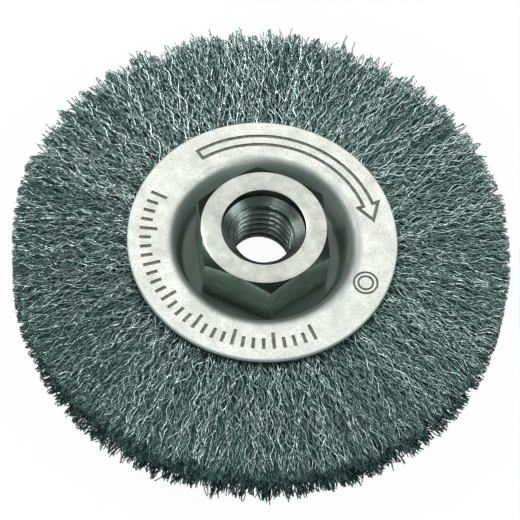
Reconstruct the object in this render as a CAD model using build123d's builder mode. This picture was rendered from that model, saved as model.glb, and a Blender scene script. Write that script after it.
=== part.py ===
from build123d import *
import os
from math import atan2, ceil, cos, degrees, floor, pi, radians, sin, sqrt, tan

# A crimped wire wheel brush for an angle grinder, in millimetres. Two pressed plates lie floor to floor and
# hold a disc of wires between their outer bands. The hub nut is flared over behind them.
# The origin is on the spindle axis at the middle of the wires, and +Z points out of the nut's face.

# Side plates: two like pressings
plate_diameter = 55.0
plate_face_height = 8.4
sheet_thickness = 1.2
plate_edge_radius = 0.5
recess_diameter = 35.6
recess_taper = 0.6
shoulder_radius = 2.4
floor_bend_radius = 1.8

# Hub nut: hexagon, counterbore, thread core and flared spigot
nut_across_flats = 25.5
nut_top_height = 13.4
nut_chamfer_angle = 30.0
counterbore_diameter = 17.1
counterbore_depth = 2.4
drill_point_angle = 118.0
thread_core_diameter = 11.835
thread_lead_in = 0.8
spigot_diameter = 17.6
spigot_clearance = 0.1
flare_diameter = 22.0
flare_height = 1.5
flare_edge_radius = 0.9

# Core ring: the wires are folded over it
ring_wire_diameter = 3.0
fold_thickness = 1.2
ring_clearance = 0.1

# Wires: a solid disc stands for the packed inner ones, and the outer ones lie on it one by one
wheel_diameter = 102.4
rim_half_width = 6.8
fill_clearance = 0.3
wire_width = 0.75
wire_height = 0.75
wire_seat_gap = 0.05
tuck_under_plate = 1.3
rim_wire_reach = 3.8
rim_corner = 1.2
crimp_half_wave = 4.1
crimp_sway = 0.55
least_straight = 0.8
short_wire_reach = 14.2
wire_side_gap = 0.1
cut_unevenness = 1.6

# Ends of the inner wires, which stand out of the rim in rows
rim_rows = 4
rim_row_pitch = 2.7
rim_end_pitch = 5.2
rim_end_length = 3.7
rim_end_lean = 14.0
rim_end_width = 1.0

# Scatter of the wires
golden_ratio = (sqrt(5) - 1) / 2
cut_stride = 5
lean_stride = 3

# Places that follow from the sizes above
plate_radius = plate_diameter / 2
recess_radius = recess_diameter / 2
recess_floor_radius = recess_radius - recess_taper
band_underside = plate_face_height - sheet_thickness
spigot_radius = spigot_diameter / 2
plate_hole_radius = spigot_radius + spigot_clearance
thread_core_radius = thread_core_diameter / 2
flare_bottom = -sheet_thickness - flare_height
wheel_radius = wheel_diameter / 2
ring_wire_radius = ring_wire_diameter / 2
fill_mouth_radius = recess_radius + sheet_thickness + fill_clearance
fill_middle_radius = fill_mouth_radius - recess_taper
ring_radius = fill_mouth_radius + fold_thickness + ring_wire_radius
fill_radius = wheel_radius - rim_wire_reach
fill_corner = shoulder_radius - sheet_thickness
wires_start = plate_radius - tuck_under_plate
wires_top_clearance = wire_height + 2 * wire_seat_gap
fill_face_start = band_underside - wires_top_clearance
fill_face_end = rim_half_width - wire_height - wire_seat_gap
face_slope = degrees(atan2(fill_face_start - fill_face_end, fill_radius - wires_start))
rim_corner_top = fill_face_end + rim_corner * tan(radians(face_slope))


# Scatters values evenly between 0 and 1 by the golden ratio, so that like things don't line up. A longer stride
# through the same values gives the cut and the lean of a wire an order of their own.
def scatter(index):
    return index * golden_ratio % 1


# Sideways place of a crimped wire at a radius: a zigzag with a bend at each half wave
def crimp_at(radius, shift):
    along = (radius - shift) / crimp_half_wave
    bend = floor(along)
    return crimp_sway * (1 - 2 * (along - bend)) * (-1) ** bend


# The corners of one crimped wire between two radii
def crimped_line(start, end, shift):
    first_bend = ceil((start + least_straight - shift) / crimp_half_wave)
    last_bend = floor((end - least_straight - shift) / crimp_half_wave)
    stations = [start]
    stations += [shift + bend * crimp_half_wave for bend in range(first_bend, last_bend + 1)]
    stations += [end]
    return [(radius - wires_start, crimp_at(radius, shift)) for radius in stations]


# Front plate: a flat band, a rounded shoulder and a deep recess with a hole in its floor
with BuildPart() as front_plate:
    with BuildSketch(Plane.XZ):
        with BuildLine():
            FilletPolyline(
                (plate_hole_radius, 0),
                (recess_floor_radius + sheet_thickness, 0),
                (recess_radius + sheet_thickness, band_underside),
                (plate_radius, band_underside),
                (plate_radius, plate_face_height),
                (recess_radius, plate_face_height),
                (recess_floor_radius, sheet_thickness),
                (plate_hole_radius, sheet_thickness),
                radius=(
                    0,
                    floor_bend_radius + sheet_thickness,
                    shoulder_radius - sheet_thickness,
                    0,
                    plate_edge_radius,
                    shoulder_radius,
                    floor_bend_radius,
                    0,
                ),
                close=True,
            )
        make_face()
    revolve(axis=Axis.Z)

# Back plate: the same pressing, turned over
with BuildPart() as back_plate:
    add(front_plate.part, rotation=(180, 0, 0))

# Hub nut: a hexagon that stands on the front plate's floor, with its corners turned off at the top
with BuildPart() as hub_nut:
    with BuildSketch(Plane.XY.offset(sheet_thickness)):
        RegularPolygon(radius=nut_across_flats / 2, side_count=6, major_radius=False)
    extrude(amount=nut_top_height - sheet_thickness)
    with BuildSketch(Plane.XZ):
        with BuildLine():
            Polyline(
                (0, sheet_thickness),
                (nut_across_flats, sheet_thickness),
                (nut_across_flats, nut_top_height - nut_across_flats / 2 * tan(radians(nut_chamfer_angle))),
                (nut_across_flats / 2, nut_top_height),
                (0, nut_top_height),
                close=True,
            )
        make_face()
    revolve(axis=Axis.Z, mode=Mode.INTERSECT)

    # Spigot through both plates, with its end flared over behind the back one
    with BuildSketch(Plane.XZ):
        with BuildLine():
            FilletPolyline(
                (0, sheet_thickness),
                (spigot_radius, sheet_thickness),
                (spigot_radius, -sheet_thickness),
                (flare_diameter / 2, -sheet_thickness),
                (flare_diameter / 2, flare_bottom),
                (0, flare_bottom),
                radius=(0, 0, 0, 0, flare_edge_radius, 0),
                close=True,
            )
        make_face()
    revolve(axis=Axis.Z)

    # Counterbore with a drill-point cone, then the thread's core with a lead-in at the far end
    cone_depth = (counterbore_diameter / 2 - thread_core_radius) / tan(radians(drill_point_angle / 2))
    core_top = nut_top_height - counterbore_depth - cone_depth
    with BuildSketch(Plane.XZ):
        with BuildLine():
            Polyline(
                (0, nut_top_height),
                (counterbore_diameter / 2, nut_top_height),
                (counterbore_diameter / 2, nut_top_height - counterbore_depth),
                (thread_core_radius, core_top),
                (thread_core_radius, flare_bottom + thread_lead_in),
                (thread_core_radius + thread_lead_in, flare_bottom),
                (0, flare_bottom),
                close=True,
            )
        make_face()
    revolve(axis=Axis.Z, mode=Mode.SUBTRACT)

# Core ring, shut in the fold of the wires
with BuildPart() as core_ring:
    Torus(major_radius=ring_radius, minor_radius=ring_wire_radius)

# Wire fill: packed tight between the plates, then spreading to the rim
with BuildPart() as wire_fill:
    with BuildSketch(Plane.XZ):
        with BuildLine():
            Polyline(
                (fill_middle_radius, 0),
                (fill_mouth_radius, band_underside - fill_corner),
                (fill_mouth_radius + fill_corner, band_underside),
                (wires_start - wires_top_clearance, band_underside),
                (wires_start, fill_face_start),
                (fill_radius - rim_corner, rim_corner_top),
                (fill_radius, fill_face_end - rim_corner),
                (fill_radius, rim_corner - fill_face_end),
                (fill_radius - rim_corner, -rim_corner_top),
                (wires_start, -fill_face_start),
                (wires_start - wires_top_clearance, -band_underside),
                (fill_mouth_radius + fill_corner, -band_underside),
                (fill_mouth_radius, fill_corner - band_underside),
                close=True,
            )
        make_face()
    revolve(axis=Axis.Z)

    # Room for the core ring
    with BuildSketch(Plane.XZ):
        with Locations((ring_radius, 0)):
            Rectangle(ring_wire_diameter + 2 * ring_clearance, ring_wire_diameter + 2 * ring_clearance)
    revolve(axis=Axis.Z, mode=Mode.SUBTRACT)

# Front wires: long ones from under the plate's edge, and short ones between them nearer the rim. They are as many
# as have room where the short ones start, even where the crimps of two neighbours meet.
short_wires_start = wheel_radius - short_wire_reach
crimp_lean = atan2(2 * crimp_sway, crimp_half_wave)
wire_room = 2 * crimp_sway + wire_width / cos(crimp_lean) + wire_side_gap
wire_places = 2 * floor(pi * short_wires_start / wire_room)


# One outer wire: a three-sided bar swept along its crimps, flat side down on the fill's sloping face
def outer_wire(start, place):
    turn = place * 360 / wire_places
    slope = radians(face_slope)
    outward = Vector(cos(slope), 0, -sin(slope)).rotate(Axis.Z, turn)
    upward = Vector(sin(slope), 0, cos(slope)).rotate(Axis.Z, turn)
    face_start = Vector(wires_start, 0, fill_face_start + wire_seat_gap).rotate(Axis.Z, turn)
    shift = 2 * crimp_half_wave * scatter(place)
    end = wheel_radius - cut_unevenness * scatter(cut_stride * place)
    with BuildPart() as wire:
        with BuildLine(Plane(origin=face_start, x_dir=outward, z_dir=upward)) as crimps:
            Polyline(crimped_line(start, end, shift))
        first_way = crimps.line % 0
        across = upward.cross(first_way)
        with BuildSketch(Plane(origin=crimps.line @ 0, x_dir=across, z_dir=first_way)):
            Polygon((-wire_width / 2, 0), (wire_width / 2, 0), (0, wire_height), align=None)
        sweep(path=crimps.line, transition=Transition.RIGHT)
    return wire.part


with BuildPart() as front_wires:
    add(outer_wire(wires_start + wire_width / 2, place) for place in range(0, wire_places, 2))
    add(outer_wire(short_wires_start, place) for place in range(1, wire_places, 2))

# Back wires: the same, turned over
with BuildPart() as back_wires:
    add(front_wires.part, rotation=(180, 0, 0))

# Rim wires: rows of wire ends that stand out of the fill's edge and lean to either side
rim_seat = fill_radius + wire_seat_gap + rim_end_width / 2 * sin(radians(rim_end_lean))
rim_ends = floor(2 * pi * rim_seat / rim_end_pitch)


# One wire end: a three-sided bar that stands at a height on the rim and leans sideways
def rim_end(index, height, turn):
    lean = rim_end_lean * (2 * scatter(lean_stride * index) - 1)
    length = rim_end_length - cut_unevenness * scatter(index)
    seat = Vector(rim_seat, 0, height).rotate(Axis.Z, turn)
    with BuildPart() as end:
        with BuildSketch(Plane(origin=seat, x_dir=(0, 0, 1), z_dir=Vector(1, 0, 0).rotate(Axis.Z, turn + lean))):
            RegularPolygon(radius=rim_end_width / 2, side_count=3)
        extrude(amount=length)
    return end.part


with BuildPart() as rim_wires:
    add(
        rim_end(
            row * rim_ends + index,
            (row - (rim_rows - 1) / 2) * rim_row_pitch,
            (index + scatter(row)) * 360 / rim_ends,
        )
        for row in range(rim_rows)
        for index in range(rim_ends)
    )

os.makedirs("parts", exist_ok=True)
for name, part in (
    ("front_plate", front_plate.part),
    ("back_plate", back_plate.part),
    ("hub_nut", hub_nut.part),
    ("core_ring", core_ring.part),
    ("wire_fill", wire_fill.part),
    ("front_wires", front_wires.part),
    ("back_wires", back_wires.part),
    ("rim_wires", rim_wires.part),
):
    part.label = name
    export_step(part, f"parts/{name}.step")
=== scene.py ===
from math import atan2, ceil, cos, pi, radians, sin, tan

import bpy
import numpy as np
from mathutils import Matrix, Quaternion, Vector


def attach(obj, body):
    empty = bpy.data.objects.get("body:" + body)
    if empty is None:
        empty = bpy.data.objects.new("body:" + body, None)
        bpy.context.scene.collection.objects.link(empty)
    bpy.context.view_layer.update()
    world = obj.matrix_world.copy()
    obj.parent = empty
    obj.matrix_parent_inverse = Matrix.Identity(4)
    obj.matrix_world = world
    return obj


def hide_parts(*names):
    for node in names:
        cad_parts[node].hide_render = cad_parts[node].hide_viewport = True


# A crimped wire wheel brush, lying on its back plate. The spindle axis is Z, and the middle of the wires is
# at zero. Sizes are in millimetres, and become metres in the meshes and the node trees.
MM = 0.001

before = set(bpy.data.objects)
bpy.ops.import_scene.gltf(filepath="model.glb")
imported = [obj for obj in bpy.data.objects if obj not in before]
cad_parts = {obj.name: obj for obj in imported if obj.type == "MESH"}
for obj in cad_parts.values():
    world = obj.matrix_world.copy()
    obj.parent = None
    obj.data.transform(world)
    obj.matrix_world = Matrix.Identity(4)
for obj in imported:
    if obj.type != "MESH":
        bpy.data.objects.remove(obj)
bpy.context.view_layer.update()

# Side plates
PLATE_RADIUS = 27.5
PLATE_FACE = 8.4
SHEET = 1.2
PLATE_EDGE_RADIUS = 0.25
RECESS_RADIUS = 17.8
RECESS_FLOOR_RADIUS = 17.2
SHOULDER_RADIUS = 2.4
FLOOR_BEND_RADIUS = 1.8
PLATE_HOLE_RADIUS = 8.9
PLATE_COLUMNS = 240

# Marks stamped in the front plate's band, with bearings in degrees
STAMP_DEPTH = 0.2
STAMP_CLEARANCE = 0.4
STAMP_MITRE_LIMIT = 0.4
SCALE_START = 180
SCALE_STEP = 5
SCALE_STROKES = 29
STROKES_TO_A_LONG_ONE = 4
STROKE_OUTER = 25.0
STROKE_INNER = 22.6
LONG_STROKE_INNER = 21.4
STROKE_WIDTH = 0.72
ARROW_TAIL = 148
ARROW_NECK = 46
ARROW_TIP = 37
ARROW_RADIUS = 23.2
ARROW_HALF_WIDTH = 1.0
ARROW_HEAD_HALF_WIDTH = 2.2
ARROW_LINE_WIDTH = 0.68
RINGS_PLACE = 22.9
RINGS_RADII = (2.4, 1.5)
RINGS_LINE_WIDTH = 0.45

# Hub nut
NUT_HALF_WIDTH = 12.75
NUT_TOP = 13.4
NUT_CHAMFER = radians(30)
NUT_CORNER_FLAT = 0.12
NUT_CORNER_RADIUS = NUT_HALF_WIDTH / cos(pi / 6) - NUT_CORNER_FLAT
FLAT_COLUMNS = 24
EDGE_BREAK = 0.12
FOOT_BREAK = 0.3
MOUTH_BREAK = 0.2
COUNTERBORE_RADIUS = 8.55
COUNTERBORE_DEPTH = 2.4
DRILL_POINT = radians(59)
THREAD_CORE_RADIUS = 5.9175
THREAD_DEPTH = 1.0825
THREAD_PITCH = 2.0
THREAD_LEAD_IN = 0.8
THREAD_ROWS = 20
SPIGOT_RADIUS = 8.8
FLARE_RADIUS = 11.0
FLARE_BOTTOM = -2.7
FLARE_EDGE_RADIUS = 0.9

# Wires
WIRE_RADIUS = 0.13
WIRES_AT_PLATE = 7.1
WIRES_AT_RIM = 6.75
WHEEL_RADIUS = 53.3
LONGEST_BEARING = radians(116)
RIM_HALF_WIDTH = 6.2
PACKED_RADIUS = 47.4
PACKED_COLUMNS = 600


# Meshes


def rounded(corners, radii, step=radians(15)):
    """The points of a closed outline whose corners are rounded by arcs."""
    points = []
    for place, ((x, y), radius) in enumerate(zip(corners, radii)):
        if not radius:
            points.append((x, y))
            continue
        before = Vector(corners[place - 1]) - Vector((x, y))
        after = Vector(corners[(place + 1) % len(corners)]) - Vector((x, y))
        half = before.angle(after) / 2
        middle = Vector((x, y)) + (before.normalized() + after.normalized()).normalized() * radius / sin(half)
        start = Vector((x, y)) + before.normalized() * radius / tan(half) - middle
        end = Vector((x, y)) + after.normalized() * radius / tan(half) - middle
        turn = atan2(start.x * end.y - start.y * end.x, start.dot(end))
        steps = max(2, ceil(abs(turn) / step))
        first = atan2(start.y, start.x)
        for part in range(steps + 1):
            angle = first + turn * part / steps
            points.append((middle.x + radius * cos(angle), middle.y + radius * sin(angle)))
    return points


def round_the_axis(section, columns):
    """Radii and heights of a section's points, repeated round the axis, and the angles they stand at."""
    angles = np.linspace(0, 2 * pi, columns + 1)[:-1]
    radii, heights = (np.repeat(values[:, np.newaxis], columns, axis=1) for values in section.T)
    return radii, heights, angles


def turned(name, radii, heights, angles, material_rows, materials, sharp=radians(24)):
    """A closed body from rings of points: row by row round its section, column by column round the axis."""
    rows, columns = radii.shape
    points = np.stack((radii * np.cos(angles), radii * np.sin(angles), heights), axis=-1).reshape(-1, 3) * MM
    row, column = np.meshgrid(np.arange(rows), np.arange(columns), indexing="ij")
    next_row, next_column = (row + 1) % rows, (column + 1) % columns
    corners = ((row, column), (row, next_column), (next_row, next_column), (next_row, column))
    faces = np.stack([at_row * columns + at_column for at_row, at_column in corners], axis=-1).reshape(-1, 4)
    section = np.sum(radii[:, 0] * np.roll(heights[:, 0], -1) - np.roll(radii[:, 0], -1) * heights[:, 0])
    if section < 0:
        faces = faces[:, ::-1]
    mesh = bpy.data.meshes.new(name)
    mesh.from_pydata(points.tolist(), [], faces.tolist())
    for material in materials:
        mesh.materials.append(material)
    mesh.polygons.foreach_set("material_index", np.repeat(material_rows, columns).astype(np.int32))
    mesh.shade_smooth()
    mesh.set_sharp_from_angle(angle=sharp)
    return placed_in_scene(name, mesh)


def placed_in_scene(name, contents):
    """A new object in the scene."""
    made = bpy.data.objects.new(name, contents)
    bpy.context.scene.collection.objects.link(made)
    return made


def plain_mesh(piece):
    """Turns what a piece's modifiers make into its own mesh."""
    graph = bpy.context.evaluated_depsgraph_get()
    mesh = bpy.data.meshes.new_from_object(
        piece.evaluated_get(graph), preserve_all_data_layers=True, depsgraph=graph
    )
    piece.modifiers.clear()
    piece.data = mesh
    return piece


# Node trees


class Flow:
    """A number on its way through a node tree, so that formulas can be written as formulas."""

    def __init__(self, tree, socket):
        self.tree = tree
        self.socket = socket

    def math(self, operation, *others):
        made = self.tree.nodes.new("ShaderNodeMath")
        made.operation = operation
        join(self.tree, made.inputs[0], self)
        for socket, value in zip(list(made.inputs)[1:], others):
            join(self.tree, socket, value)
        return Flow(self.tree, made.outputs[0])

    def __add__(self, other):
        return self.math("ADD", other)

    def __sub__(self, other):
        return self.math("SUBTRACT", other)

    def __mul__(self, other):
        return self.math("MULTIPLY", other)

    def __truediv__(self, other):
        return self.math("DIVIDE", other)

    def __mod__(self, other):
        return self.math("FLOORED_MODULO", other)

    def __neg__(self):
        return self.math("MULTIPLY", -1)

    def __rsub__(self, other):
        return -self + other

    __radd__ = __add__


def join(tree, socket, value):
    """Sets a socket to a value, or links it to what flows in."""
    if isinstance(value, Flow):
        value = value.socket
    if isinstance(value, bpy.types.NodeSocket):
        tree.links.new(value, socket)
    else:
        socket.default_value = value


def add_node(tree, kind, settings=None, **inputs):
    """Adds a node with its settings. Inputs are named with underscores for blanks."""
    made = tree.nodes.new(kind)
    for name, value in (settings or {}).items():
        setattr(made, name, value)
    for name, value in inputs.items():
        join(tree, made.inputs[name.replace("_", " ")], value)
    return made


def new_group(name, kind, inputs, outputs):
    """An empty node group with named sockets: (name, socket kind, start value)."""
    tree = bpy.data.node_groups.new(name, kind)
    for label, socket_kind, value in inputs:
        socket = tree.interface.new_socket(label, in_out="INPUT", socket_type=socket_kind)
        if value is not None:
            socket.default_value = value
    for label, socket_kind in outputs:
        tree.interface.new_socket(label, in_out="OUTPUT", socket_type=socket_kind)
    return tree, tree.nodes.new("NodeGroupInput"), tree.nodes.new("NodeGroupOutput")


def axes(tree, vector):
    """The three parts of a vector."""
    parted = add_node(tree, "ShaderNodeSeparateXYZ", Vector=vector)
    return tuple(Flow(tree, parted.outputs[axis]) for axis in "XYZ")


def remapped(flow, low, high, to_low=0.0, to_high=1.0):
    """Stretches a number from one range to another, held within it."""
    made = add_node(
        flow.tree,
        "ShaderNodeMapRange",
        {"clamp": True},
        Value=flow,
        From_Min=low,
        From_Max=high,
        To_Min=to_low,
        To_Max=to_high,
    )
    return Flow(flow.tree, made.outputs["Result"])


# Finishes


def object_place(tree):
    """Where a point lies on its object."""
    return tree.nodes.new("ShaderNodeTexCoord").outputs["Object"]


def spindle_place(tree):
    """How far a point lies from the spindle axis, how high, and how far to the right."""
    x, y, up = axes(tree, object_place(tree))
    return (x * x + y * y).math("SQRT"), up, x


def noise(tree, scale, detail, roughness=0.5):
    """Cloudy noise over the object, between 0 and 1."""
    made = add_node(
        tree, "ShaderNodeTexNoise", Vector=object_place(tree), Scale=scale, Detail=detail, Roughness=roughness
    )
    return Flow(tree, made.outputs["Fac"])


def rolled_grain():
    """Faint blotches and pits of bare steel, as a shade between 0 and 1 and a height."""
    tree, given, out = new_group(
        "rolled grain",
        "ShaderNodeTree",
        (("Blotch Size", "NodeSocketFloat", 0.004), ("Pit Size", "NodeSocketFloat", 0.0004)),
        (("Shade", "NodeSocketFloat"), ("Height", "NodeSocketFloat")),
    )
    blotch = noise(tree, Flow(tree, given.outputs["Blotch Size"]).math("POWER", -1), 4.0, 0.6)
    pit = noise(tree, Flow(tree, given.outputs["Pit Size"]).math("POWER", -1), 3.0, 0.7)
    join(tree, out.inputs["Shade"], blotch * 0.6 + pit * 0.4)
    join(tree, out.inputs["Height"], pit * 0.7 + blotch * 0.3)
    return tree


def turning_marks():
    """Fine rings that a cutting tool leaves round the spindle axis."""
    tree, given, out = new_group(
        "turning marks",
        "ShaderNodeTree",
        (("Ring Pitch", "NodeSocketFloat", 0.0002),),
        (("Height", "NodeSocketFloat"),),
    )
    from_axis, up, _ = spindle_place(tree)
    rings = add_node(
        tree,
        "ShaderNodeTexNoise",
        {"noise_dimensions": "1D"},
        W=(from_axis + up * 0.7) / Flow(tree, given.outputs["Ring Pitch"]),
        Scale=1.0,
        Detail=2.0,
        Roughness=0.6,
    )
    join(tree, out.inputs["Height"], rings.outputs["Fac"])
    return tree


GRAIN = rolled_grain()
TURNING = turning_marks()


def grain(tree, blotch, pit):
    """The rolled grain in a material, as its shade and its height."""
    made = add_node(tree, "ShaderNodeGroup", {"node_tree": GRAIN}, Blotch_Size=blotch, Pit_Size=pit)
    return Flow(tree, made.outputs["Shade"]), made.outputs["Height"]


def turning(tree, pitch):
    """The turning marks in a material, as their height."""
    return add_node(tree, "ShaderNodeGroup", {"node_tree": TURNING}, Ring_Pitch=pitch).outputs["Height"]


def blend(tree, share, first, second):
    """Mixes two colours by a share."""
    mix = tree.nodes.new("ShaderNodeMix")
    mix.data_type = "RGBA"
    join(tree, mix.inputs[0], share)
    # Its sockets 6 and 7 are the two colours
    for socket, colour in ((mix.inputs[6], first), (mix.inputs[7], second)):
        join(tree, socket, colour if isinstance(colour, bpy.types.NodeSocket) else (*colour, 1))
    return mix.outputs[2]


def bump(tree, height, distance, strength, under=None):
    """A surface that bulges with a height, over another bump if one is given."""
    made = add_node(tree, "ShaderNodeBump", Height=height, Distance=distance, Strength=strength)
    if under is not None:
        join(tree, made.inputs["Normal"], under)
    return made.outputs["Normal"]


def new_material(name, metallic, roughness):
    """A material with its shader, and a constant metal share and roughness on the shader itself."""
    material = bpy.data.materials.new(name)
    material.use_nodes = True
    shader = material.node_tree.nodes["Principled BSDF"]
    shader.inputs["Metallic"].default_value = metallic
    shader.inputs["Roughness"].default_value = roughness
    return material, material.node_tree, shader


def steel(name, dark, light, roughness, blotch=0.004, pit=0.0004, pit_depth=0.00002, rings=0.0, metal=1.0):
    """Steel with grain, duller where metal is low, and with turning marks where rings is their depth."""
    material, tree, shader = new_material(name, metal, roughness)
    shade, height = grain(tree, blotch, pit)
    join(tree, shader.inputs["Base Color"], blend(tree, remapped(shade, 0.35, 0.65), dark, light))
    uneven = remapped(shade, 0.3, 0.7, roughness + 0.08, roughness - 0.08)
    join(tree, shader.inputs["Roughness"], uneven)
    normal = bump(tree, height, pit_depth, 0.5)
    if rings:
        normal = bump(tree, turning(tree, 0.00022), rings, 0.6, normal)
    join(tree, shader.inputs["Normal"], normal)
    return material


def pressed_sheet():
    """Satin sheet on the flat band, with painted shade down the recess and over the shoulder, and dull along
    its sheared edge, which has painted shade on its lower side.
    """
    material, tree, shader = new_material("satin pressed sheet", 1.0, 0.36)
    shade, height = grain(tree, 0.0035, 0.0003)
    shade = remapped(shade, 0.38, 0.62)
    specks = noise(tree, 2600.0, 2.0)

    # Where the painted shade down the recess and over the shoulder lies, and where the sheet's crest, floor
    # and edge lie
    from_axis, up, to_right = spindle_place(tree)
    up = up.math("ABSOLUTE")
    out_of_recess_shade = remapped(up + (specks - 0.5) * 1.2 * MM, 6.6 * MM, 8.3 * MM)
    out_of_shoulder_shade = remapped(from_axis - to_right * 0.05 + (specks - 0.5) * 1.4 * MM, 18.0 * MM, 19.8 * MM)
    crest = remapped(from_axis, 18.8 * MM, 20.2 * MM, 1.0, 0.0) * out_of_recess_shade
    floor = remapped(up, 1.4 * MM, 3.2 * MM, 1.0, 0.0)
    sheared = remapped(from_axis, (PLATE_RADIUS - 0.28) * MM, (PLATE_RADIUS - 0.22) * MM)
    upper_side = remapped(up, 7.5 * MM, 7.7 * MM)

    # Painted shade down the recess: the wall grows darker towards the floor
    oiled = blend(tree, floor, (0.62, 0.69, 0.665), (0.13, 0.16, 0.15))
    satin = blend(tree, shade, (0.62, 0.655, 0.595), (0.85, 0.885, 0.82))
    satin = blend(tree, remapped(specks, 0.52, 0.7, 0.0, 0.6), satin, (0.4, 0.42, 0.38))
    # Painted shade over the shoulder, stronger towards the right, where it tones down a highlight
    satin = blend(tree, out_of_shoulder_shade, (0.22, 0.25, 0.235), satin)
    # The sheared edge is dull, with painted shade on its lower side
    edge = blend(tree, upper_side, (0.07, 0.095, 0.09), (0.44, 0.52, 0.49))
    join(tree, shader.inputs["Base Color"], blend(tree, sheared, blend(tree, out_of_recess_shade, oiled, satin), edge))
    join(tree, shader.inputs["Metallic"], remapped(out_of_recess_shade, 0.0, 1.0, 0.5, 1.0) - sheared * 0.7)
    smoothness = remapped(shade, 0.0, 1.0, 0.42, 0.32)
    join(tree, shader.inputs["Roughness"], smoothness + sheared * 0.15 + crest * 0.2)
    join(tree, shader.inputs["Normal"], bump(tree, height, 0.00003, 0.5))
    return material


def bore_steel():
    """Cut steel of the counterbore and the thread, with a painted highlight on the crests and painted shade
    in the roots.
    """
    material, tree, shader = new_material("oiled nut bore", 1.0, 0.3)
    shade, _ = grain(tree, 0.002, 0.0003)
    from_axis, up, _ = spindle_place(tree)
    # Painted highlight on the thread's crests, and painted shade in its roots
    crest = remapped(from_axis, 5.92 * MM, 6.05 * MM, 1.0, 0.0)
    root = remapped(from_axis, 6.05 * MM, 6.6 * MM) * remapped(up, 9.2 * MM, 9.6 * MM, 1.0, 0.0)
    cut = blend(tree, remapped(shade, 0.38, 0.62), (0.07, 0.095, 0.088), (0.17, 0.21, 0.195))
    cut = blend(tree, crest, cut, (0.22, 0.27, 0.25))
    join(tree, shader.inputs["Base Color"], blend(tree, root, cut, (0.012, 0.02, 0.018)))
    join(tree, shader.inputs["Normal"], bump(tree, turning(tree, 0.0003), 0.00004, 0.8))
    return material


def drawn_wire():
    """Oiled steel wire. Each wire has its own tone, with painted light and shade in it, and oil makes it
    patchy.
    """
    material, tree, shader = new_material("oiled crimped wire", 1.0, 0.22)
    tone = Flow(tree, add_node(tree, "ShaderNodeAttribute", {"attribute_name": "wire_tone"}).outputs["Fac"])
    patch = remapped(noise(tree, 1300.0, 2.0), 0.37, 0.63)
    share = remapped(tone * (0.2 + patch * 1.35), 0.0, 1.0)
    join(tree, shader.inputs["Base Color"], blend(tree, share, (0.042, 0.122, 0.108), (0.77, 0.95, 0.89)))
    join(tree, shader.inputs["Metallic"], remapped(share, 0.0, 0.6, 0.55, 1.0))
    join(tree, shader.inputs["Roughness"], remapped(patch, 0.0, 1.0, 0.2, 0.32))
    return material


def packed_wire():
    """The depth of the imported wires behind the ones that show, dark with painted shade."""
    material, tree, shader = new_material("packed wire in painted shade", 0.0, 0.8)
    depth = noise(tree, 900.0, 3.0)
    share = remapped(depth, 0.35, 0.65)
    join(tree, shader.inputs["Base Color"], blend(tree, share, (0.032, 0.098, 0.088), (0.07, 0.18, 0.162)))
    join(tree, shader.inputs["Normal"], bump(tree, depth, 0.0004, 0.8))
    return material


SHEET_STEEL = pressed_sheet()
TURNED_STEEL = steel(
    "turned nut face",
    (0.42, 0.44, 0.385),
    (0.69, 0.72, 0.665),
    0.32,
    blotch=0.0025,
    pit=0.0003,
    pit_depth=0.00003,
    rings=0.00005,
)
OILED_STEEL = steel(
    "oiled nut flats", (0.14, 0.21, 0.165), (0.25, 0.345, 0.275), 0.28, blotch=0.002, pit=0.0003, metal=0.6
)
# The chamfer's near-black colour, darker than the flats, is painted shade for the dark surroundings it
# reflects
CHAMFER_STEEL = steel(
    "nut chamfer in painted shade", (0.02, 0.034, 0.028), (0.06, 0.09, 0.074), 0.24, blotch=0.002, pit=0.0003
)
BORE_STEEL = bore_steel()
STAMPED_STEEL = steel(
    "dark stamped grooves", (0.1, 0.1, 0.085), (0.26, 0.26, 0.23), 0.5, blotch=0.001, pit=0.0003
)
RING_STEEL = steel("plain ring wire", (0.36, 0.37, 0.36), (0.5, 0.51, 0.5), 0.4)
WIRE_STEEL = drawn_wire()
PACKED_STEEL = packed_wire()


# Plates


def plate(name, side):
    """One pressed side plate, as a closed ring with rounded bends."""
    corners = (
        (PLATE_HOLE_RADIUS, 0),
        (RECESS_FLOOR_RADIUS + SHEET, 0),
        (RECESS_RADIUS + SHEET, PLATE_FACE - SHEET),
        (PLATE_RADIUS, PLATE_FACE - SHEET),
        (PLATE_RADIUS, PLATE_FACE),
        (RECESS_RADIUS, PLATE_FACE),
        (RECESS_FLOOR_RADIUS, SHEET),
        (PLATE_HOLE_RADIUS, SHEET),
    )
    bends = (
        0.1,
        FLOOR_BEND_RADIUS + SHEET,
        SHOULDER_RADIUS - SHEET,
        0.1,
        PLATE_EDGE_RADIUS,
        SHOULDER_RADIUS,
        FLOOR_BEND_RADIUS,
        0.2,
    )
    section = np.array(rounded(corners, bends, radians(10)))
    radii, heights, angles = round_the_axis(section, PLATE_COLUMNS)
    return turned(name, radii, side * heights, angles, np.zeros(len(section)), [SHEET_STEEL], radians(20))


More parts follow.
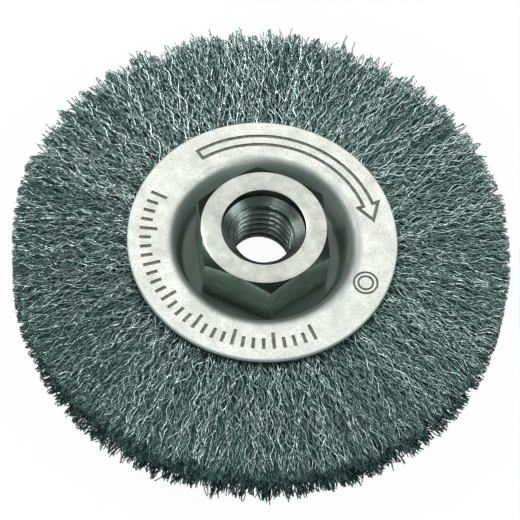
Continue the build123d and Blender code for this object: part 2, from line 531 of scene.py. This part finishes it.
def stamped_path(path, width, closed):
    """A prism that follows a path in the plate's face, to cut a stamped groove with."""
    low, high = PLATE_FACE - STAMP_DEPTH, PLATE_FACE + STAMP_CLEARANCE
    count = len(path)
    left, right = [], []
    for place in range(count):
        here = Vector(path[place])
        before = Vector(path[place - 1]) if closed or place else None
        after = Vector(path[(place + 1) % count]) if closed or place < count - 1 else None
        into = (here - before).normalized() if before is not None else (after - here).normalized()
        onto = (after - here).normalized() if after is not None else into
        across = Vector((-into.y - onto.y, into.x + onto.x)).normalized()
        reach = width / 2 / max(STAMP_MITRE_LIMIT, across.dot(Vector((-onto.y, onto.x))))
        left.append(here + across * reach)
        right.append(here - across * reach)
    points = [(p.x, p.y, z) for z in (low, high) for side in (left, right) for p in side]
    low_left, low_right, high_left, high_right = (range(k * count, (k + 1) * count) for k in range(4))
    faces = []
    for place in range(count if closed else count - 1):
        after = (place + 1) % count
        faces += [
            (low_left[place], low_left[after], low_right[after], low_right[place]),
            (high_left[place], high_right[place], high_right[after], high_left[after]),
            (low_left[place], high_left[place], high_left[after], low_left[after]),
            (low_right[place], low_right[after], high_right[after], high_right[place]),
        ]
    if not closed:
        last = count - 1
        faces += [
            (low_left[0], low_right[0], high_right[0], high_left[0]),
            (low_left[last], high_left[last], high_right[last], low_right[last]),
        ]
    return points, faces


def polar(radius, bearing):
    """A place in the plate's face, from its radius and its bearing in degrees."""
    return radius * cos(radians(bearing)), radius * sin(radians(bearing))


def scale_strokes():
    """Strokes side by side round the band, with every fourth one longer."""
    prisms = []
    for number in range(SCALE_STROKES):
        bearing = SCALE_START + number * SCALE_STEP
        inner = LONG_STROKE_INNER if number % STROKES_TO_A_LONG_ONE == 0 else STROKE_INNER
        stroke = (polar(inner, bearing), polar(STROKE_OUTER, bearing))
        prisms.append(stamped_path(stroke, STROKE_WIDTH, False))
    return prisms


def turning_arrow():
    """The outline of an arrow that runs round the band."""
    sweep, steps = ARROW_TAIL - ARROW_NECK, 24
    outer, inner = ARROW_RADIUS + ARROW_HALF_WIDTH, ARROW_RADIUS - ARROW_HALF_WIDTH
    outline = [polar(outer, ARROW_TAIL - sweep * step / steps) for step in range(steps + 1)]
    outline.append(polar(ARROW_RADIUS + ARROW_HEAD_HALF_WIDTH, ARROW_NECK))
    outline.append(polar(ARROW_RADIUS, ARROW_TIP))
    outline.append(polar(ARROW_RADIUS - ARROW_HEAD_HALF_WIDTH, ARROW_NECK))
    outline += [polar(inner, ARROW_NECK + sweep * step / steps) for step in range(steps + 1)]
    return [stamped_path(outline, ARROW_LINE_WIDTH, True)]


def two_rings():
    """Two rings, one in the other."""
    middle = Vector(polar(RINGS_PLACE, 0))
    circles = ([middle + Vector(polar(radius, turn)) for turn in range(0, 360, 15)] for radius in RINGS_RADII)
    return [stamped_path(circle, RINGS_LINE_WIDTH, True) for circle in circles]


def stamp(piece):
    """Cuts plain marks into the front plate's band: a scale of strokes, a turning arrow and two rings."""
    points, faces = [], []
    for prism_points, prism_faces in scale_strokes() + turning_arrow() + two_rings():
        faces += [tuple(len(points) + corner for corner in face) for face in prism_faces]
        points += [Vector(point) * MM for point in prism_points]
    mesh = bpy.data.meshes.new("stamp")
    mesh.from_pydata(points, [], faces)
    mesh.materials.append(STAMPED_STEEL)
    cutter = placed_in_scene("stamp", mesh)
    cut = piece.modifiers.new("stamp", "BOOLEAN")
    cut.operation = "DIFFERENCE"
    cut.solver = "EXACT"
    cut.material_mode = "TRANSFER"
    cut.object = cutter
    plain_mesh(piece)
    bpy.data.objects.remove(cutter)
    piece.data.set_sharp_from_angle(angle=radians(20))
    return piece


front_plate = stamp(plate("stamped front plate", 1))
back_plate = plate("plain back plate", -1)


# Hub nut


def hexagon(angles):
    """How far the nut's side lies from the axis at each angle, with its corners broken."""
    from_flat = angles % (pi / 3) - pi / 6
    return np.minimum(NUT_HALF_WIDTH / np.cos(from_flat), NUT_CORNER_RADIUS)


def thread_radius(angles, height):
    """The bore's radius in the thread, which climbs by one pitch for each turn to the left."""
    turn = (height / THREAD_PITCH - angles / (2 * pi)) % 1.0
    # As shares of the pitch: half of the flat at the root, and one flank
    half_root, flank = 0.0625, 0.3125
    rise = np.clip((np.abs(turn - 0.5) - half_root) / flank, 0, 1)
    return THREAD_CORE_RADIUS + THREAD_DEPTH * (1 - rise)


def hub_nut():
    """The nut with its hexagon, chamfer, counterbore, thread, spigot and flare."""
    half_flat = np.arccos(NUT_HALF_WIDTH / NUT_CORNER_RADIUS)
    one_flat = np.concatenate(([0], pi / 6 - half_flat + np.linspace(0, 2 * half_flat, FLAT_COLUMNS)))
    angles = np.concatenate([one_flat + flat * pi / 3 for flat in range(6)])
    side = hexagon(angles)
    level = np.ones_like(angles)
    face, flats, bore, chamfer = range(4)
    materials = [TURNED_STEEL, OILED_STEEL, BORE_STEEL, CHAMFER_STEEL]
    rows = []

    def ring(radii, heights, finish):
        rows.append((radii * level, heights * level, finish))

    # Seat and flats. A small rounding's middle point lies in by 0.3 of its radius
    ring(SPIGOT_RADIUS, SHEET, flats)
    ring(side - FOOT_BREAK, SHEET, flats)
    ring(side - FOOT_BREAK * 0.3, SHEET + FOOT_BREAK * 0.3, flats)
    ring(side, SHEET + FOOT_BREAK, flats)

    # Chamfer, which dips to each flat's middle, and turned face
    chamfer_foot = NUT_TOP - (side - NUT_HALF_WIDTH) * tan(NUT_CHAMFER)
    ring(side, chamfer_foot - EDGE_BREAK, chamfer)
    foot_in = np.minimum(EDGE_BREAK, side - NUT_HALF_WIDTH) * 0.5
    ring(side - foot_in, chamfer_foot + foot_in * tan(NUT_CHAMFER) - 0.02, chamfer)
    ring(NUT_HALF_WIDTH - 0.02, NUT_TOP - 0.05, face)
    ring(NUT_HALF_WIDTH - 0.16, NUT_TOP, face)

    # Counterbore
    ring(COUNTERBORE_RADIUS + MOUTH_BREAK, NUT_TOP, face)
    ring(COUNTERBORE_RADIUS + MOUTH_BREAK * 0.3, NUT_TOP - MOUTH_BREAK * 0.3, face)
    ring(COUNTERBORE_RADIUS, NUT_TOP - MOUTH_BREAK, bore)
    counterbore_floor = NUT_TOP - COUNTERBORE_DEPTH
    ring(COUNTERBORE_RADIUS, counterbore_floor, bore)

    # Drill-point cone and thread, and a lead-in at the far end
    for height in np.arange(counterbore_floor - 0.05, FLARE_BOTTOM, -THREAD_PITCH / THREAD_ROWS):
        cone = COUNTERBORE_RADIUS - (counterbore_floor - height) * tan(DRILL_POINT)
        lead_in = THREAD_CORE_RADIUS + THREAD_LEAD_IN - (height - FLARE_BOTTOM)
        ring(np.maximum(thread_radius(angles, height), max(cone, lead_in)), height, bore)
    ring(THREAD_CORE_RADIUS + THREAD_LEAD_IN + 0.3, FLARE_BOTTOM, flats)

    # Flared spigot
    flare = rounded(
        (
            (SPIGOT_RADIUS - 1, FLARE_BOTTOM),
            (FLARE_RADIUS, FLARE_BOTTOM),
            (FLARE_RADIUS, -SHEET),
            (SPIGOT_RADIUS, -SHEET),
        ),
        (0, FLARE_EDGE_RADIUS, 0.1, 0),
    )
    for radius, height in flare:
        ring(radius, height, flats)
    radii, heights, finishes = (np.array(kind) for kind in zip(*rows))
    return turned("threaded nut", radii, heights, angles, finishes, materials)


nut = hub_nut()


# Wires


def tuft_of_wire(tree, size, turn, layer):
    """The tuft of neighbours that a wire's tip belongs to.

    Puts out how far the tuft's middle lies from the tip, across and through the layer, how far that is in
    tuft sizes, two chances of the tuft's own, and a lean that it shares with the tufts near it.
    """
    tip_x = turn.math("COSINE") * size["Rim Radius"]
    tip_y = turn.math("SINE") * size["Rim Radius"]
    tip_z = (size["Height At Rim"] - layer * size["Layer Depth"]) * size["Side"]
    tip = add_node(tree, "ShaderNodeCombineXYZ", X=tip_x, Y=tip_y, Z=tip_z / size["Tuft Height"]).outputs[0]
    tufts = add_node(tree, "ShaderNodeTexVoronoi", Vector=tip, Scale=size["Tuft Size"].math("POWER", -1))
    middle_x, middle_y, middle_z = axes(tree, tufts.outputs["Position"])
    across = (middle_y - tip_y) * turn.math("COSINE") - (middle_x - tip_x) * turn.math("SINE")
    through = (middle_z * size["Tuft Height"] - tip_z) * size["Side"]
    short, luck, _ = axes(tree, tufts.outputs["Color"])
    swirls = add_node(tree, "ShaderNodeTexNoise", Vector=tip, Scale=75.0, Detail=1.0)
    swirl = remapped(Flow(tree, swirls.outputs["Fac"]), 0.3, 0.7, -1.0, 1.0) * size["Swirl"]
    return across, through, Flow(tree, tufts.outputs["Distance"]), short, luck, swirl


def wire_tubes(tree, size, points_each, wire, step, place, tone):
    """Three-sided tubes through the wires' points, each with its tone and painted shade stored on it."""
    points = add_node(tree, "GeometryNodePoints", Count=size["Wires"] * points_each, Radius=1.0)
    placed = add_node(tree, "GeometryNodeSetPosition", Geometry=points.outputs[0], Position=place)
    toned = add_node(
        tree,
        "GeometryNodeStoreNamedAttribute",
        {"data_type": "FLOAT", "domain": "POINT"},
        Geometry=placed.outputs[0],
        Name="wire_tone",
        Value=tone,
    )
    strands = add_node(
        tree, "GeometryNodePointsToCurves", Points=toned.outputs[0], Curve_Group_ID=wire, Weight=step
    )
    section = add_node(tree, "GeometryNodeCurvePrimitiveCircle", Resolution=3, Radius=size["Wire Radius"])
    tubes = add_node(
        tree,
        "GeometryNodeCurveToMesh",
        Curve=strands.outputs[0],
        Profile_Curve=section.outputs[0],
        Fill_Caps=True,
    )
    smooth = add_node(tree, "GeometryNodeSetShadeSmooth", Geometry=tubes.outputs[0])
    real = add_node(tree, "GeometryNodeRealizeInstances", Geometry=smooth.outputs[0])
    coated = add_node(tree, "GeometryNodeSetMaterial", Geometry=real.outputs[0], Material=size["Material"])
    return coated.outputs[0]


def crimped_wires():
    """A Geometry Nodes tree that lays crimped wires side by side round the hub, out to a ragged rim."""
    tree, given, out = new_group(
        "crimped wires",
        "GeometryNodeTree",
        (
            ("Geometry", "NodeSocketGeometry", None),
            ("Wires", "NodeSocketInt", 1000),
            ("Bends", "NodeSocketInt", 10),
            ("Seed", "NodeSocketInt", 1),
            ("Side", "NodeSocketFloat", 1.0),
            ("Plate Radius", "NodeSocketFloat", PLATE_RADIUS * MM),
            ("Rim Radius", "NodeSocketFloat", WHEEL_RADIUS * MM),
            ("Ragged Rim", "NodeSocketFloat", 0.005),
            ("Trim", "NodeSocketFloat", 0.00205),
            ("Longest Bearing", "NodeSocketFloat", LONGEST_BEARING),
            ("Height At Plate", "NodeSocketFloat", WIRES_AT_PLATE * MM),
            ("Height At Rim", "NodeSocketFloat", WIRES_AT_RIM * MM),
            ("Layer Depth", "NodeSocketFloat", 0.0022),
            ("Half Wave", "NodeSocketFloat", 0.0026),
            ("Crimp Depth", "NodeSocketFloat", 0.00047),
            ("Lean", "NodeSocketFloat", 0.42),
            ("Swirl", "NodeSocketFloat", 0.08),
            ("Bow", "NodeSocketFloat", 0.0022),
            ("Tuft Size", "NodeSocketFloat", 0.0015),
            ("Tuft Height", "NodeSocketFloat", 1.3),
            ("Gather Length", "NodeSocketFloat", 0.005),
            ("Stray Length", "NodeSocketFloat", 0.0018),
            ("Stray Flare", "NodeSocketFloat", 0.0022),
            ("Wire Radius", "NodeSocketFloat", WIRE_RADIUS * MM),
            ("Brightness", "NodeSocketFloat", 1.0),
            ("Material", "NodeSocketMaterial", None),
        ),
        (("Geometry", "NodeSocketGeometry"),),
    )
    size = {socket.name: Flow(tree, socket) for socket in given.outputs if socket.name}
    points_each = size["Bends"] * 2 + 1
    index = Flow(tree, tree.nodes.new("GeometryNodeInputIndex").outputs[0])
    wire = (index / points_each).math("FLOOR")
    step = index - wire * points_each
    salt = iter(range(100))

    def chance(low, high):
        """A random number for each wire. Each call draws its own, with a seed seven past the one before."""
        seed = size["Seed"] + next(salt) * 7
        made = add_node(tree, "FunctionNodeRandomValue", {"data_type": "FLOAT"}, ID=wire, Seed=seed)
        # Its sockets 2 and 3 are the range of a plain number
        join(tree, made.inputs[2], low)
        join(tree, made.inputs[3], high)
        return Flow(tree, made.outputs[1])

    # Each bend has two points, rounding it off, and the last point is the wire's cut end, along its last leg
    round_off = 0.17
    bend = (step / 2).math("FLOOR")
    at_end = (step - size["Bends"] * 2 + 1).math("GREATER_THAN", 0.5)
    last_leg = chance(0.15, 0.95)
    regular = bend - round_off + (step % 2) * (2 * round_off)
    end_place = size["Bends"] - 1 + round_off + last_leg * (1 - 2 * round_off)
    along = regular + (end_place - regular) * at_end
    swing = 1 - (bend % 2) * 2
    end_swing = ((size["Bends"] - 1) % 2 * -2 + 1) * (1 - last_leg * 2)
    sway = swing + (end_swing - swing) * at_end

    # Where the wire ends. The wheel is trimmed close on two sides and left long at one bearing. One tuft in
    # five stands proud, and one wire in twenty strays out of its tuft
    turn = chance(0.0, 2 * pi)
    layer = chance(0.0, 1.0)
    tuft_across, tuft_through, from_middle, short, luck, swirl = tuft_of_wire(tree, size, turn, layer)
    facing = (turn - size["Longest Bearing"]).math("COSINE")
    ragged = size["Ragged Rim"] * (facing * 0.15 + 0.85)
    proud_tuft = luck.math("GREATER_THAN", 0.8) * 0.0006
    tuft_end = size["Rim Radius"] - ragged * short * 0.6 + proud_tuft
    stray = chance(0.0, 1.0).math("GREATER_THAN", 0.95)
    shortfall = ragged * (from_middle * 0.55 + chance(0.0, 0.15))
    own_end = tuft_end - shortfall + stray * chance(0.0, 1.0) * size["Stray Length"]
    trimmed_sides = size["Trim"] * (1 - facing.math("ABSOLUTE"))
    trimmed_near = size["Trim"] * 0.25 * (1 - facing)
    trimmed = size["Rim Radius"] - trimmed_sides - trimmed_near
    end_radius = own_end.math("MINIMUM", trimmed + chance(-0.0002, 0.0))
    flare = stray * chance(0.0, 1.0) * size["Stray Flare"]

    # Place along, across and through the layer. A wire leans and bows between plate and rim, and its crimps
    # lie in a plane of their own. Near its end it gathers with its tuft
    lean_length = 0.023
    half_wave = size["Half Wave"] * chance(0.88, 1.12)
    radius = end_radius - (end_place - along) * half_wave
    reach = (radius - size["Plate Radius"]) / (size["Rim Radius"] - size["Plate Radius"])
    reach = reach.math("MAXIMUM", 0.0)
    roll = chance(-1.5, 1.5)
    rise = roll.math("SINE")
    lean = (chance(-1.0, 1.0) + chance(-1.0, 1.0)) * size["Lean"] * 0.5 + swirl
    gather = remapped(radius, tuft_end - size["Gather Length"], tuft_end).math("POWER", 1.2) * 0.95
    own_depth = size["Crimp Depth"] * chance(0.6, 1.3)
    first_way = chance(0.0, 1.0).math("GREATER_THAN", 0.5) * 2 - 1
    crimp = own_depth * sway * first_way * (1 - gather * 0.8)
    bow = (reach * pi).math("SINE") * (1 - reach) * chance(-1.0, 1.0) * size["Bow"]
    leaning = lean * (reach - 1) * lean_length
    across = crimp * roll.math("COSINE") + leaning + bow + tuft_across * gather
    bearing = turn + across / radius
    outward_rise = size["Height At Rim"] - size["Height At Plate"]
    through = (
        size["Height At Plate"]
        + outward_rise * reach.math("MINIMUM", 1.0)
        - size["Wire Radius"]
        - size["Crimp Depth"] * 1.3 * rise.math("ABSOLUTE")
        - size["Layer Depth"] * layer
        + crimp * rise
        + (tuft_through * 0.9 + flare) * gather
    )
    place = add_node(
        tree,
        "ShaderNodeCombineXYZ",
        X=radius * bearing.math("COSINE"),
        Y=radius * bearing.math("SINE"),
        Z=through * size["Side"],
    )

    # Tone: each wire's own, with painted shade on deeper wires and on the tips, apart from the longest ones,
    # and painted light on the far side and painted shade on the near side
    painted_tip_shade = 1 - remapped(reach, 0.88, 0.98, 0.0, 0.35) * (1 - facing)
    painted_depth_shade = (1 - layer * 0.95).math("POWER", 1.3)
    own_tone = chance(0.2, 1.05).math("POWER", 1.35)
    painted_side_light_and_shade = facing * 0.15 + 1
    tone = own_tone * painted_depth_shade * painted_tip_shade * painted_side_light_and_shade * size["Brightness"]

    tubes = wire_tubes(tree, size, points_each, wire, step, place.outputs[0], tone)
    join(tree, out.inputs["Geometry"], tubes)
    return tree


CRIMPED_WIRES = crimped_wires()


def lay_wires(name, **sizes):
    """One layer of wires, from the tree with its inputs set. The others keep their start values."""
    piece = placed_in_scene(name, bpy.data.meshes.new(name))
    layer = piece.modifiers.new("crimped wires", "NODES")
    layer.node_group = CRIMPED_WIRES
    sizes["Material"] = WIRE_STEEL
    for socket in CRIMPED_WIRES.interface.items_tree:
        label = socket.name.replace(" ", "_")
        if socket.in_out == "INPUT" and label in sizes:
            layer[socket.identifier] = sizes[label]
    return plain_mesh(piece)


def packed_body():
    """The body of wires that lies behind the ones drawn one by one, with a rough rim, dark with painted
    shade.
    """
    # Half of its section: up between the plates, out to their edge and on to the rim
    upper = [(19.3, 6.0), (20.5, 7.15), (25.6, 7.15), (27.0, 5.0)]
    upper += [(PACKED_RADIUS, height) for height in (5.0, 3.6, 2.2, 0.7)]
    bends = [0, 0, 0.3, 0.6, 0, 0, 0, 0]
    lower = [(radius, -height) for radius, height in reversed(upper)]
    section = np.array(rounded(upper + lower + [(18.75, 0)], bends + bends[::-1] + [0]))
    radii, heights, angles = round_the_axis(section, PACKED_COLUMNS)
    rim = radii > PACKED_RADIUS - 1
    radii[rim] += np.random.default_rng(5).uniform(-0.6, 1.9, rim.sum())
    radii += rim * 0.55 * (1 - np.cos(angles - LONGEST_BEARING))
    return turned("packed wires", radii, heights, angles, np.zeros(len(section)), [PACKED_STEEL])


packed = packed_body()
front_layers = [lay_wires(f"front crimped wires {number}", Wires=1600, Seed=11 * number) for number in (1, 2)]
back_layers = [
    lay_wires(f"back crimped wires {number}", Wires=1000, Seed=11 * number + 5, Side=-1.0)
    for number in (1, 2)
]
# The rim tufts' lower Brightness is painted shade on the wheel's rim side
rim_layer = lay_wires(
    "rim tufts",
    Wires=4800,
    Bends=3,
    Seed=77,
    Height_At_Plate=RIM_HALF_WIDTH * MM,
    Height_At_Rim=RIM_HALF_WIDTH * MM,
    Layer_Depth=2 * RIM_HALF_WIDTH * MM,
    Brightness=0.75,
)

# Pieces and the nodes they stand for

dressed = [
    (front_plate, "front_plate", "plate_steel"),
    (back_plate, "back_plate", "plate_steel"),
    (nut, "hub_nut", "nut_steel"),
    (packed, "wire_fill", "wire_steel"),
    (rim_layer, "rim_wires", "wire_steel"),
]
dressed += [(layer, "front_wires", "wire_steel") for layer in front_layers]
dressed += [(layer, "back_wires", "wire_steel") for layer in back_layers]
for piece, node, slot in dressed:
    piece.name = piece.name.replace(" ", "_")
    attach(piece, "root")
    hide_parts(node)

core_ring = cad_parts["core_ring"]
core_ring.data.materials.clear()
core_ring.data.materials.append(RING_STEEL)


# Floor, light and camera. Distances are in metres


def pale_floor():
    """A wide pale floor just under the back plate.

    It looks white, keeps the shadow, and hides nothing from below.
    """
    reach, height = 3.0, -(PLATE_FACE + 0.05) * MM
    mesh = bpy.data.meshes.new("floor")
    corners = ((-reach, -reach), (reach, -reach), (reach, reach), (-reach, reach))
    mesh.from_pydata([(x, y, height) for x, y in corners], [], [(0, 1, 2, 3)])
    floor = placed_in_scene("floor", mesh)
    material, tree, shader = new_material("pale floor", 0.0, 0.9)
    shader.inputs["Base Color"].default_value = (0.86, 0.86, 0.86, 1)
    shader.inputs["Specular IOR Level"].default_value = 0.1
    ray = tree.nodes.new("ShaderNodeLightPath")
    seen = Flow(tree, ray.outputs["Is Camera Ray"]).math("MAXIMUM", ray.outputs["Is Transmission Ray"])
    share = seen * 0.96 + Flow(tree, ray.outputs["Is Glossy Ray"]) * 0.25
    white = add_node(tree, "ShaderNodeEmission", Strength=1.0)
    mixed = add_node(tree, "ShaderNodeMixShader", Fac=share)
    tree.links.new(shader.outputs[0], mixed.inputs[1])
    tree.links.new(white.outputs[0], mixed.inputs[2])
    below = Flow(tree, tree.nodes.new("ShaderNodeNewGeometry").outputs["Backfacing"])
    two_sided = add_node(tree, "ShaderNodeMixShader", Fac=below)
    tree.links.new(mixed.outputs[0], two_sided.inputs[1])
    tree.links.new(tree.nodes.new("ShaderNodeBsdfTransparent").outputs[0], two_sided.inputs[2])
    tree.links.new(two_sided.outputs[0], tree.nodes["Material Output"].inputs["Surface"])
    mesh.materials.append(material)


def studio_world():
    """Plain grey surroundings that look white to the camera."""
    world = bpy.data.worlds.new("studio")
    world.use_nodes = True
    bpy.context.scene.world = world
    tree = world.node_tree
    shell = tree.nodes["Background"]
    ray = tree.nodes.new("ShaderNodeLightPath")
    shell.inputs["Color"].default_value = (1, 1, 1, 1)
    join(tree, shell.inputs["Strength"], remapped(Flow(tree, ray.outputs["Is Camera Ray"]), 0, 1, 0.28, 1.0))


def direction(azimuth, elevation):
    """The way from the wheel to something round it, from two angles in degrees. Azimuth 0 is the front."""
    a, e = radians(azimuth), radians(elevation)
    return Vector((sin(a) * cos(e), -cos(a) * cos(e), sin(e)))


def face_the_wheel(thing, azimuth, elevation, distance, roll=0.0):
    """Places a lamp or a camera round the wheel, facing it."""
    away = direction(azimuth, elevation)
    thing.location = away * distance
    thing.rotation_mode = "QUATERNION"
    thing.rotation_quaternion = away.to_track_quat("Z", "Y") @ Quaternion((0, 0, 1), radians(roll))


def soft_light(name, azimuth, elevation, distance, width, brightness):
    """A square soft box that faces the wheel. Brightness is its radiance, where 1 is white."""
    lamp = bpy.data.lights.new(name, "AREA")
    lamp.size = width
    lamp.energy = brightness * pi * width * width
    face_the_wheel(placed_in_scene(name, lamp), azimuth, elevation, distance)


def photo_camera():
    """The camera of the photograph: high, long and a little rolled. Its shift is in pixels of the photo."""
    photo_side = 520
    lens = bpy.data.cameras.new("camera")
    lens.sensor_width = 36.0
    lens.lens = 236.5
    lens.shift_x = -0.4 / photo_side
    lens.shift_y = -1.4 / photo_side
    lens.clip_start, lens.clip_end = 0.05, 20.0
    camera = placed_in_scene("camera", lens)
    face_the_wheel(camera, azimuth=19.0, elevation=61.45, distance=0.7, roll=6.25)
    bpy.context.scene.camera = camera


pale_floor()
studio_world()
soft_light("main softbox", azimuth=188.0, elevation=55.0, distance=1.1, width=1.45, brightness=0.93)
soft_light("left key", azimuth=-92.0, elevation=48.0, distance=1.0, width=0.32, brightness=10.2)
soft_light("right key", azimuth=100.0, elevation=40.0, distance=1.0, width=0.3, brightness=8.9)
soft_light("front key", azimuth=-7.0, elevation=35.0, distance=1.0, width=0.32, brightness=11.3)
photo_camera()
bpy.context.scene.view_settings.view_transform = "Standard"
